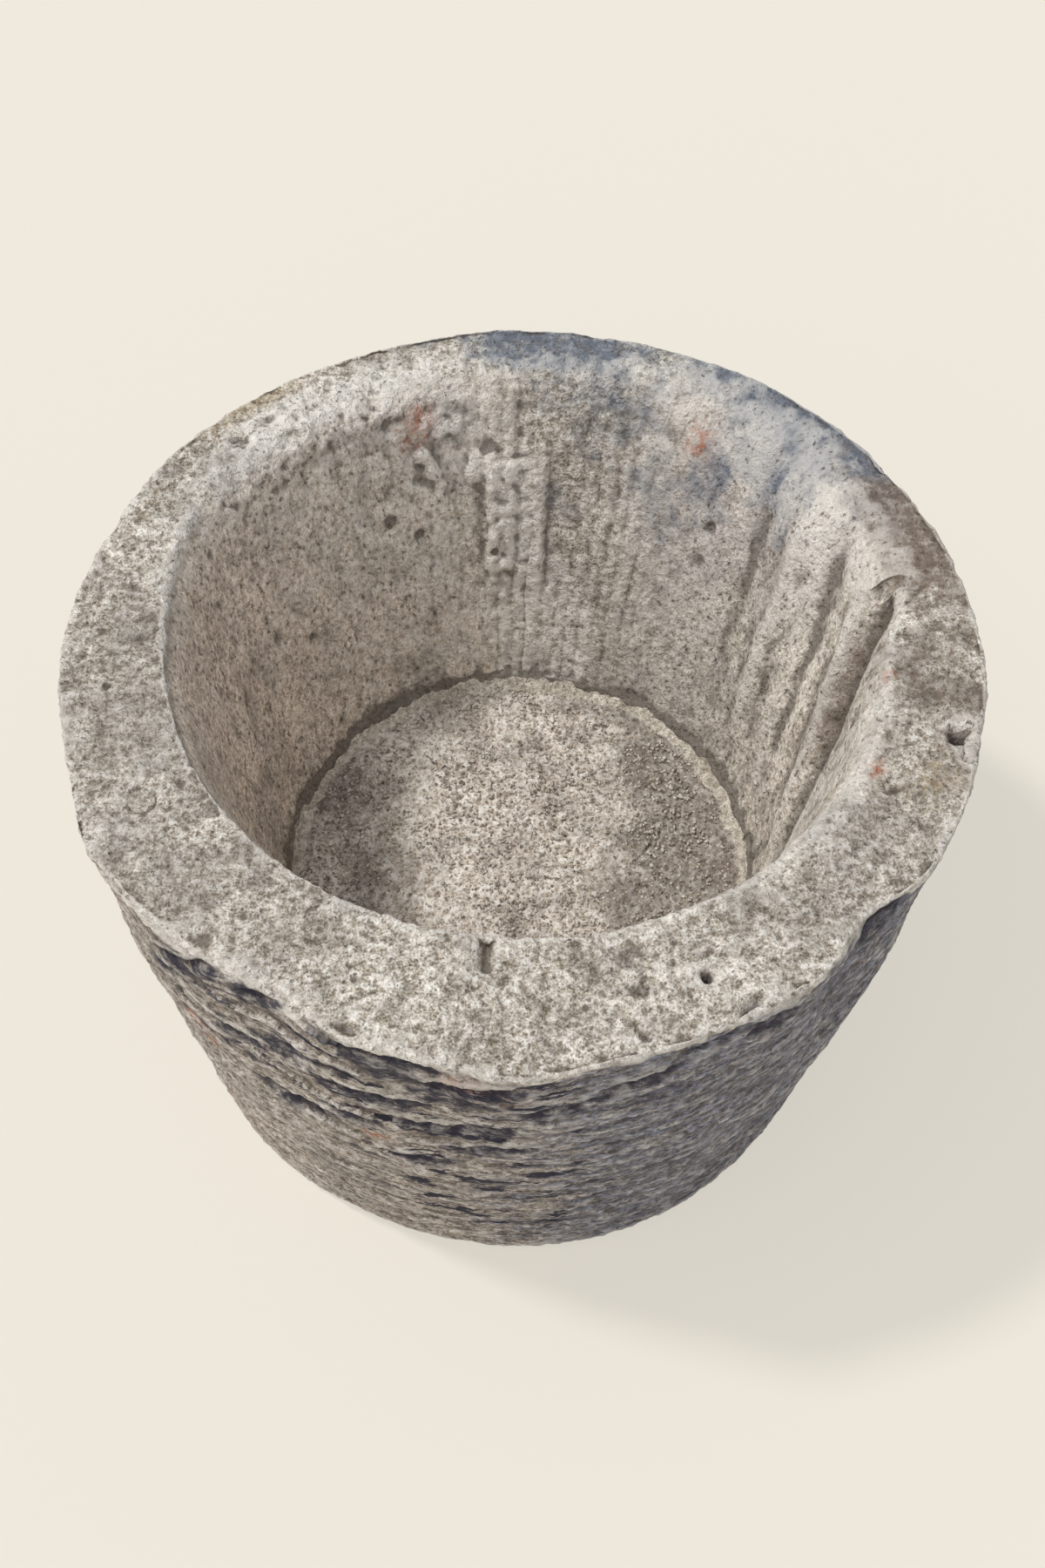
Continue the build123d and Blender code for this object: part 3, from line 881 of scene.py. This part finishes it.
def limestoneMaterial():
    look = limestoneLook
    m = Mixer("limestone")
    grains = []
    for name in ("rimGrain", "hollowGrain", "outerGrain"):
        grain, lump, pit, share, stretch = look[name]
        grains.append(m.group(grainGroup, Grain_Scale=grain, Lump_Scale=lump, Pit_Scale=pit, Pit_Share=share,
                              Stretch=stretch))
    inside, outside = m.mask("streaksAndPaintedLight"), m.mask("outside")

    def placed(name):
        rim, hollow, outer = [grain.outputs[name] for grain in grains]
        return m.mix(outside, m.mix(inside, rim, hollow), outer)

    # lays one row on: real stains and painted light and shade alike
    def stainedAndShaded(colour, row):
        mask, tint, how, share, scale, rag, amount, stretch = row
        laidMask = m.group(edgeGroup, Mask=m.mask(mask), Scale=scale, Raggedness=rag, Amount=amount,
                        Stretch=stretch)
        return m.mix(laidMask.outputs["Stain"], colour, m.mix(share, colour, look[tint], how))

    tones = [(0.0, look["deepStone"]), (0.5, look["stone"]), (1.0, look["paleStone"])]
    colour = m.ramp(placed("Grain"), tones)
    clouds = [(0.0, (0.66, 0.64, 0.61)), (0.5, (1.0, 1.0, 1.0)), (1.0, (1.2, 1.2, 1.2))]
    colour = m.mix(1.0, colour, m.ramp(grains[0].outputs["Clouds"], clouds), "MULTIPLY")
    colour = m.mix(m.math("MULTIPLY", inside, 0.35), colour, look["stone"])  # the hollow is more even
    for row in look["stainsAndShade"]:
        colour = stainedAndShaded(colour, row)

    # darker in the hollows, paler on what stands out
    cavity = m.mask("cavity")
    sunk = m.math("MULTIPLY", m.math("SUBTRACT", cavity, 0.52), 3.4, True)
    colour = m.mix(sunk, colour, m.mix(0.75, colour, look["dirtAndShade"]))
    worn = m.math("MULTIPLY", m.math("SUBTRACT", 0.47, cavity), 3.4, True)
    colour = m.mix(m.math("MULTIPLY", worn, 0.7), colour, m.mix(0.6, colour, look["paleStone"]))
    colour = m.mix(m.math("MULTIPLY", placed("Pits"), 0.75), colour, m.mix(0.85, colour, look["dirtAndShade"]))

    # painted shade in the crevices and under the ledges, and painted lens-shaped shadows between the layers
    colour = stainedAndShaded(colour, look["crevicePaintedShade"])
    scale, stretch, closed, sharpness = look["lens"]
    lens = m.group(edgeGroup, Mask=0.5, Scale=scale, Raggedness=1.0, Stretch=stretch)
    shadedOpening = m.math("MULTIPLY", m.math("SUBTRACT", lens.outputs["Stain"], closed), sharpness, True)
    colour = m.mix(m.math("MULTIPLY", shadedOpening, m.mask("lensShadeZone")), colour, look["paintedShadeBlack"])
    m.links.new(colour, m.shader.inputs["Base Color"])

    low = m.bump(placed("Height"), 0.0035, 0.8)
    tick = m.nodes.new("ShaderNodeTexNoise")
    tick.inputs["Scale"].default_value = 90.0
    tick.inputs["Detail"].default_value = 5.0
    coords = m.nodes.new("ShaderNodeTexCoord")
    m.links.new(coords.outputs["Object"], tick.inputs["Vector"])
    m.links.new(m.bump(tick.outputs["Fac"], 0.008, 0.5, low), m.shader.inputs["Normal"])
    return m.material


limestone = limestoneMaterial()
stoneBlock = makeStoneBlock()
stoneMasks(stoneBlock)
stoneBlock.data.materials.append(limestone)
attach(stoneBlock, "root")
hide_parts("stone_block")
print("stone block done")

# the grit bed with its grains, the mortar fillet and the plug

bed = {
    "columns": 620,
    "rings": 120,
    "triangles": 110000,
    "underside": 128.0,
    "lumps": 2.6,
    # start, end, depth
    "cracks": [((131, 195), (165, 164), 3.0), ((96, 205), (131, 195), 2.0), ((60, 110), (92, 128), 1.6),
               ((-40, -60), (10, -78), 1.4), ((120, 20), (150, 62), 1.8), ((-120, 80), (-96, 128), 1.5)],
    "grains": 5200,
    "grainRadius": 1.5,
    "grainSizes": (0.45, 1.5),
    "grainSeed": 3,
    "look": {"name": "gritBed", "dark": (0.41, 0.35, 0.285), "middle": (0.78, 0.705, 0.61),
             "pale": (0.95, 0.92, 0.87), "dirtAndShade": (0.13, 0.10, 0.08), "grainScale": 420.0, "pitShare": 0.40},
}


def ringPoints(columns):
    a = np.arange(columns) * 360.0 / columns
    return a, np.cos(np.radians(a)), np.sin(np.radians(a))


def ring(centre, cosine, sine, radius, level):
    # one row of points round a centre
    x, y = centre
    return np.stack([x + radius * cosine, y + radius * sine, 0 * cosine + level], -1)


def makeFloorBed():
    a, cosine, sine = ringPoints(bed["columns"])
    cx, cy = centre = stone["bedCentre"]
    rows = []
    low, thickness = bed["underside"], stone["bedTop"] - bed["underside"]
    footRadius = stone["bedRadius"] - thickness * stone["panSlope"]
    for share in (0.3, 0.7):
        rows.append(ring(centre, cosine, sine, footRadius * share, low))
    for share in np.linspace(0, 1, 5):
        radius = footRadius + (stone["bedRadius"] - footRadius) * share
        rows.append(ring(centre, cosine, sine, radius, low + thickness * share))
    for share in np.linspace(0.992, 0.012, bed["rings"]):
        rows.append(ring(centre, cosine, sine, stone["bedRadius"] * share, stone["bedTop"]))
    rows = np.array(rows)
    flat = rows.reshape(-1, 3)
    onTop = flat[:, 2] > stone["bedTop"] - 0.5
    reach = np.hypot(flat[:, 0] - cx, flat[:, 1] - cy)
    p = flat[onTop]
    rise = bed["lumps"] * fractal(p, 70, 2, 201) + 1.5 * fractal(p, 20, 2, 203)
    rise += 0.9 * ridged(p, 7, 205) - 0.6
    rise += 1.4 * np.clip(fractal(p, (34, 34, 34), 3, 207) * 4.0, -0.5, 0.6)
    rise -= 2.4 * scatteredPits(p, 15.0, 0.4, 209)
    wander = np.stack([5.0 * softNoise(p / 12.0, 211), 5.0 * softNoise(p / 12.0, 212), 0 * p[:, 0]], 1)
    for start, end, depth in bed["cracks"]:
        rise -= depth * nearLine(p + wander, start, end, 2.2)
    fade = 1.0 - 0.6 * smoothStep(reach[onTop], 196, 213)
    flat[onTop, 2] += rise * fade
    piece = closedMesh("floorBed", flat.reshape(rows.shape), (cx, cy, bed["underside"]),
                       (cx, cy, stone["bedTop"] - 0.4))
    thin = piece.modifiers.new("thin", "DECIMATE")
    thin.ratio = bed["triangles"] / (2.0 * len(piece.data.polygons))
    bakedModifiers(piece)
    shadeSmooth(piece)
    p = meshPoints(piece)
    reach = np.hypot(p[:, 0] - cx, p[:, 1] - cy)
    turn = np.degrees(np.arctan2(p[:, 1] - cy, p[:, 0] - cx)) % 360.0
    patchy = fractal(p, 60, 3, 221)
    setMask(piece, "cavity", 0.5 + meshHollows(piece, 10) / 3.2)
    # painted shade: darker on the right, at the back right, towards the left and round the edge of the bed,
    # with two painted shadow bands across it
    paintedShade = 2.3 * smoothStep(p[:, 0], 70, 185) * smoothStep(-p[:, 1], -190, -40)
    paintedShade += 0.7 * window(turn, 48, 24) * smoothStep(reach, 110, 185) + 0.5 * smoothStep(reach, 185, 212)
    paintedShade += 0.5 * smoothStep(-p[:, 0], 85, 150)
    paintedShade += 0.4 * np.exp(-((p[:, 1] - 60 + 0.1 * p[:, 0]) / 22) ** 2) * smoothStep(p[:, 0], -10, 40)
    paintedShade += 0.35 * np.exp(-((p[:, 1] + 20) / 20) ** 2) * smoothStep(p[:, 0], -60, 20)
    setMask(piece, "paintedShade", paintedShade + 0.9 * patchy)
    spot = np.exp(-(((p[:, 0] + 60) ** 2 + (p[:, 1] + 95) ** 2) / 30 ** 2))
    setMask(piece, "rust", 0.5 * spot + 0.2 * patchy)
    return piece


def scatterTree(material, grainShape):
    # grains set into a surface: named inputs for number, size and seed
    tree = bpy.data.node_groups.new("scatterGrit", "GeometryNodeTree")
    socket(tree, "NodeSocketGeometry", "Geometry", "INPUT")
    density = socket(tree, "NodeSocketFloat", "Grains Per Square Metre", "INPUT", 30000.0)
    smallest = socket(tree, "NodeSocketFloat", "Smallest", "INPUT", 0.5)
    largest = socket(tree, "NodeSocketFloat", "Largest", "INPUT", 1.6)
    seed = socket(tree, "NodeSocketInt", "Seed", "INPUT", 3)
    socket(tree, "NodeSocketGeometry", "Geometry", "OUTPUT")
    nodes, links = tree.nodes, tree.links
    start, end = nodes.new("NodeGroupInput"), nodes.new("NodeGroupOutput")
    points = nodes.new("GeometryNodeDistributePointsOnFaces")
    links.new(start.outputs["Geometry"], points.inputs["Mesh"])
    links.new(start.outputs["Grains Per Square Metre"], points.inputs["Density"])
    links.new(start.outputs["Seed"], points.inputs["Seed"])
    shape = nodes.new("GeometryNodeObjectInfo")
    shape.inputs["Object"].default_value = grainShape
    size = nodes.new("FunctionNodeRandomValue")
    size.data_type = "FLOAT_VECTOR"
    corners = []
    for name in ("Smallest", "Largest"):
        corner = nodes.new("ShaderNodeCombineXYZ")
        for index in range(3):
            links.new(start.outputs[name], corner.inputs[index])
        corners.append(corner)
    links.new(corners[0].outputs[0], size.inputs[0])
    links.new(corners[1].outputs[0], size.inputs[1])
    turn = nodes.new("FunctionNodeRandomValue")
    turn.data_type = "FLOAT_VECTOR"
    turn.inputs[1].default_value = (6.28, 6.28, 6.28)
    place = nodes.new("GeometryNodeInstanceOnPoints")
    links.new(points.outputs["Points"], place.inputs["Points"])
    links.new(shape.outputs["Geometry"], place.inputs["Instance"])
    links.new(turn.outputs[0], place.inputs["Rotation"])
    links.new(size.outputs[0], place.inputs["Scale"])
    real = nodes.new("GeometryNodeRealizeInstances")
    links.new(place.outputs["Instances"], real.inputs["Geometry"])
    paint = nodes.new("GeometryNodeSetMaterial")
    paint.inputs["Material"].default_value = material
    links.new(real.outputs[0], paint.inputs["Geometry"])
    links.new(paint.outputs[0], end.inputs[0])
    return tree, (density, smallest, largest, seed)


def makeBedGrit(material):
    # loose grains on the bed, left as one mesh
    grainMesh = bpy.data.meshes.new("grainShape")
    shaper = bmesh.new()
    bmesh.ops.create_icosphere(shaper, subdivisions=1, radius=bed["grainRadius"] * mm)
    shaper.to_mesh(grainMesh)
    shaper.free()
    grainShape = bpy.data.objects.new("grainShape", grainMesh)
    cx, cy = stone["bedCentre"]
    a, cosine, sine = ringPoints(96)
    radius = stone["bedRadius"] - 9.0
    level = stone["bedTop"] + 0.2
    points = [((cx + radius * x) * mm, (cy + radius * y) * mm, level * mm) for x, y in zip(cosine, sine)]
    mesh = bpy.data.meshes.new("bedGrit")
    mesh.from_pydata(points, [], [tuple(range(96))])
    piece = bpy.data.objects.new("bedGrit", mesh)
    bpy.context.scene.collection.objects.link(piece)
    bpy.context.scene.collection.objects.link(grainShape)
    tree, sockets = scatterTree(material, grainShape)
    modifier = piece.modifiers.new("grit", "NODES")
    modifier.node_group = tree
    area = math.pi * (radius * mm) ** 2
    for made, value in zip(sockets, (bed["grains"] / area, *bed["grainSizes"], bed["grainSeed"])):
        modifier[made.identifier] = value
    bakedModifiers(piece)
    bpy.data.objects.remove(grainShape)
    return piece


fillet = {
    "columns": 720,
    "wallLeg": 8.0,
    "bedLeg": 7.5,
    "sunk": 2.0,
    "look": {"name": "limeFillet", "dark": (0.40, 0.35, 0.28), "middle": (0.62, 0.56, 0.47),
             "pale": (0.82, 0.77, 0.68), "dirtAndShade": (0.20, 0.16, 0.12), "grainScale": 500.0, "pitShare": 0.36},
}


def makeEdgeFillet():
    # a bead pressed into the corner by hand: its two edges wander
    a, cosine, sine = ringPoints(fillet["columns"])
    rise = fillet["wallLeg"] * (0.9 + 0.9 * alongRim(a, 60, 301) + 0.5 * alongRim(a, 14, 303))
    reach = fillet["bedLeg"] * (0.95 + 1.0 * alongRim(a, 70, 305) + 0.7 * alongRim(a, 13, 307))
    rise, reach = np.clip(rise, 3.0, 14.0), np.clip(reach, 2.5, 15.0)
    edge, sunk = stone["bedRadius"], fillet["sunk"]
    wallEdge = edge + rise * stone["panSlope"]
    section = [(wallEdge + sunk, rise), (wallEdge - 0.3, rise + 0.2)]
    for share in (0.2, 0.4, 0.6, 0.8):
        across = (1 - share) ** 2 * wallEdge + 2 * share * (1 - share) * (edge - 1.5)
        across = across + share ** 2 * (edge - reach)
        up = (1 - share) ** 2 * rise + 2 * share * (1 - share) * 2.2
        section.append((across, up + 0.7 * alongRim(a + 40 * share, 9, 309)))
    section += [(edge - reach, 0 * a + 0.5), (edge - reach, 0 * a - sunk), (edge + sunk, 0 * a - sunk)]
    rows = [ring(stone["bedCentre"], cosine, sine, radius, stone["bedTop"] + up) for radius, up in section]
    count, columns = len(rows), fillet["columns"]
    points = np.array(rows).reshape(-1, 3) * mm
    faces = []
    for row in range(count):
        below = (row + 1) % count
        for column in range(columns):
            after = (column + 1) % columns
            faces.append((row * columns + column, below * columns + column, below * columns + after,
                          row * columns + after))
    mesh = bpy.data.meshes.new("edgeFillet")
    mesh.from_pydata(points.tolist(), [], faces)
    mesh.update()
    piece = bpy.data.objects.new("edgeFillet", mesh)
    bpy.context.scene.collection.objects.link(piece)
    outward(piece)
    shadeSmooth(piece)
    return piece


def outward(piece):
    shaper = bmesh.new()
    shaper.from_mesh(piece.data)
    bmesh.ops.recalc_face_normals(shaper, faces=shaper.faces)
    shaper.to_mesh(piece.data)
    shaper.free()


plug = {
    "direction": 206.8,
    "reach": 331.0,
    "radius": 11.0,
    "bottom": 429.0,
    "top": 473.6,
    "look": {"name": "plugMortar", "dark": (0.27, 0.24, 0.20), "middle": (0.47, 0.42, 0.355),
             "pale": (0.68, 0.63, 0.56), "dirtAndShade": (0.14, 0.12, 0.10), "grainScale": 620.0, "pitShare": 0.38},
}


def makeRimPlug():
    a, cosine, sine = ringPoints(72)
    x = stone["rimCentre"][0] + plug["reach"] * math.cos(math.radians(plug["direction"]))
    y = stone["rimCentre"][1] + plug["reach"] * math.sin(math.radians(plug["direction"]))
    wobble = 1.0 + 0.05 * alongRim(a, 120, 401)
    top, bottom = plug["top"], plug["bottom"]
    section = [(1.0, bottom), (1.0, 455.0), (1.0, top - 1.6), (0.96, top - 0.4), (0.88, top)]
    section += [(share, top + 0.2) for share in (0.75, 0.6, 0.45, 0.3, 0.15)]
    rows = [ring((x, y), cosine, sine, plug["radius"] * share * wobble, level) for share, level in section]
    rows = np.array(rows)
    flat = rows.reshape(-1, 3)
    onTop = flat[:, 2] > top - 1.0
    flat[onTop, 2] += 0.9 * fractal(flat[onTop], 8, 2, 403)
    piece = closedMesh("rimPlug", flat.reshape(rows.shape), (x, y, bottom), (x, y, top))
    shadeSmooth(piece)
    return piece


def mortarMaterial(look, stainsAndShade=False):
    m = Mixer(look["name"])
    scale = look["grainScale"]
    grain = m.group(grainGroup, Grain_Scale=scale, Lump_Scale=scale * 0.36, Pit_Scale=scale * 0.55,
                    Pit_Share=look["pitShare"])
    tones = [(0.0, look["dark"]), (0.5, look["middle"]), (1.0, look["pale"])]
    colour = m.ramp(grain.outputs["Grain"], tones)
    clouds = [(0.0, (0.72, 0.70, 0.68)), (0.5, (1.0, 1.0, 1.0)), (1.0, (1.18, 1.18, 1.18))]
    colour = m.mix(1.0, colour, m.ramp(grain.outputs["Clouds"], clouds), "MULTIPLY")
    if stainsAndShade:
        # painted shade from the bed's mask, laid on towards the dark colour
        paintedShade = m.group(edgeGroup, Mask=m.mask("paintedShade"), Scale=50.0, Raggedness=0.9, Amount=0.85)
        colour = m.mix(paintedShade.outputs["Stain"], colour, m.mix(0.8, colour, look["dirtAndShade"]))
        rust = m.group(edgeGroup, Mask=m.mask("rust"), Scale=80.0, Raggedness=0.9, Amount=0.4)
        colour = m.mix(rust.outputs["Stain"], colour, (0.30, 0.17, 0.10))
        sunk = m.math("MULTIPLY", m.math("SUBTRACT", m.mask("cavity"), 0.54), 3.2, True)
        colour = m.mix(sunk, colour, m.mix(0.8, colour, look["dirtAndShade"]))
        worn = m.math("MULTIPLY", m.math("SUBTRACT", 0.46, m.mask("cavity")), 3.0, True)
        colour = m.mix(m.math("MULTIPLY", worn, 0.6), colour, look["pale"])
    colour = m.mix(m.math("MULTIPLY", grain.outputs["Pits"], 0.75), colour, look["dirtAndShade"])
    m.links.new(colour, m.shader.inputs["Base Color"])
    m.links.new(m.bump(grain.outputs["Height"], 0.004, 0.9), m.shader.inputs["Normal"])
    return m.material


def gritMaterial():
    # each grain takes its own tone from a cell pattern coarser than the grain
    m = Mixer("looseGrit")
    cells = m.nodes.new("ShaderNodeTexVoronoi")
    cells.inputs["Scale"].default_value = 260.0
    coords = m.nodes.new("ShaderNodeTexCoord")
    m.links.new(coords.outputs["Object"], cells.inputs["Vector"])
    grain = m.group(grainGroup)
    tone = m.ramp(cells.outputs["Color"], [(0.0, (0.14, 0.115, 0.09)), (0.4, (0.46, 0.40, 0.33)),
                                           (0.75, (0.70, 0.65, 0.58)), (1.0, (0.88, 0.85, 0.80))])
    colour = m.mix(m.math("MULTIPLY", grain.outputs["Pits"], 0.5), tone, (0.2, 0.17, 0.14))
    m.links.new(colour, m.shader.inputs["Base Color"])
    m.links.new(m.bump(grain.outputs["Height"], 0.001, 0.6), m.shader.inputs["Normal"])
    return m.material


floorBed = makeFloorBed()
floorBed.data.materials.append(mortarMaterial(bed["look"], True))
bedGrit = makeBedGrit(gritMaterial())
edgeFillet = makeEdgeFillet()
edgeFillet.data.materials.append(mortarMaterial(fillet["look"]))
rimPlug = makeRimPlug()
rimPlug.data.materials.append(mortarMaterial(plug["look"]))
for piece, node, slotName in (
        (floorBed, "floor_bed", "lime_grit"), (bedGrit, "floor_bed", "lime_grit"),
        (edgeFillet, "edge_fillet", "lime_mortar"), (rimPlug, "rim_plug", "plug_mortar")):
    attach(piece, "root")
    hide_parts(node)
print("bed, grit, fillet and plug done:", len(bedGrit.data.polygons), "grain faces")

# light, floor and camera

stageLook = {
    "backdrop": (0.827, 0.781, 0.692),
    "sunFrom": (-0.49, 0.11, 0.865),
    "sunStrength": 1.75,
    "sunAngle": 6.0,
    "fillFrom": (-0.50, -0.62, 0.60),
    "fillStrength": 0.65,
    "fillAngle": 80.0,
    "skyStrength": 0.56,
    "floorGlow": 0.66,
    "floorHalf": 8.0,
}

cameraLook = {
    "place": (0.012, -0.953, 1.713),
    "pitch": 34.28,  # degrees up from straight down
    "lens": 44.0,
}


def makeStage():
    look = stageLook
    for name, tint in (("sun", (1.0, 0.98, 0.95)), ("fill", (1.0, 1.0, 1.0))):
        light = bpy.data.lights.new(name + "Light", "SUN")
        light.energy = look[name + "Strength"]
        light.angle = math.radians(look[name + "Angle"])
        light.color = tint
        lamp = bpy.data.objects.new(name + "Light", light)
        lamp.rotation_euler = Vector(look[name + "From"]).to_track_quat("Z", "Y").to_euler()
        bpy.context.scene.collection.objects.link(lamp)
    world = bpy.data.worlds.new("softRoom")
    bpy.context.scene.world = world
    world.use_nodes = True
    nodes, links = world.node_tree.nodes, world.node_tree.links
    room = nodes["Background"]
    room.inputs["Color"].default_value = (0.97, 0.99, 1.03, 1.0)
    room.inputs["Strength"].default_value = look["skyStrength"]
    seen = nodes.new("ShaderNodeBackground")
    seen.inputs["Color"].default_value = (*look["backdrop"], 1.0)
    path = nodes.new("ShaderNodeLightPath")
    choose = nodes.new("ShaderNodeMixShader")
    links.new(path.outputs["Is Camera Ray"], choose.inputs[0])
    links.new(room.outputs[0], choose.inputs[1])
    links.new(seen.outputs[0], choose.inputs[2])
    links.new(choose.outputs[0], nodes["World Output"].inputs["Surface"])
    mesh = bpy.data.meshes.new("studioFloor")
    half = look["floorHalf"]
    corners = [(-half, -half, 0), (half, -half, 0), (half, half, 0), (-half, half, 0)]
    mesh.from_pydata(corners, [], [(0, 1, 2, 3)])
    ground = bpy.data.objects.new("studioFloor", mesh)
    bpy.context.scene.collection.objects.link(ground)
    material = bpy.data.materials.new("studioFloor")
    material.use_nodes = True
    nodes, links = material.node_tree.nodes, material.node_tree.links
    matt = nodes["Principled BSDF"]
    matt.inputs["Base Color"].default_value = (*look["backdrop"], 1.0)
    matt.inputs["Roughness"].default_value = 1.0
    matt.inputs["Specular IOR Level"].default_value = 0.0
    glow = nodes.new("ShaderNodeEmission")
    glow.inputs["Color"].default_value = (*look["backdrop"], 1.0)
    path = nodes.new("ShaderNodeLightPath")
    share = nodes.new("ShaderNodeMath")
    share.operation = "MULTIPLY"
    share.inputs[1].default_value = look["floorGlow"]
    choose = nodes.new("ShaderNodeMixShader")
    links.new(path.outputs["Is Camera Ray"], share.inputs[0])
    links.new(share.outputs[0], choose.inputs[0])
    links.new(matt.outputs[0], choose.inputs[1])
    links.new(glow.outputs[0], choose.inputs[2])
    links.new(choose.outputs[0], nodes["Material Output"].inputs["Surface"])
    mesh.materials.append(material)


def makeCamera():
    look = cameraLook
    data = bpy.data.cameras.new("camera")
    data.sensor_width = 36.0
    data.lens = look["lens"]
    camera = bpy.data.objects.new("camera", data)
    camera.location = look["place"]
    camera.rotation_euler = (math.radians(look["pitch"]), 0.0, 0.0)
    bpy.context.scene.collection.objects.link(camera)
    bpy.context.scene.camera = camera


makeStage()
makeCamera()
bpy.context.scene.view_settings.view_transform = "Standard"
print("stage done")
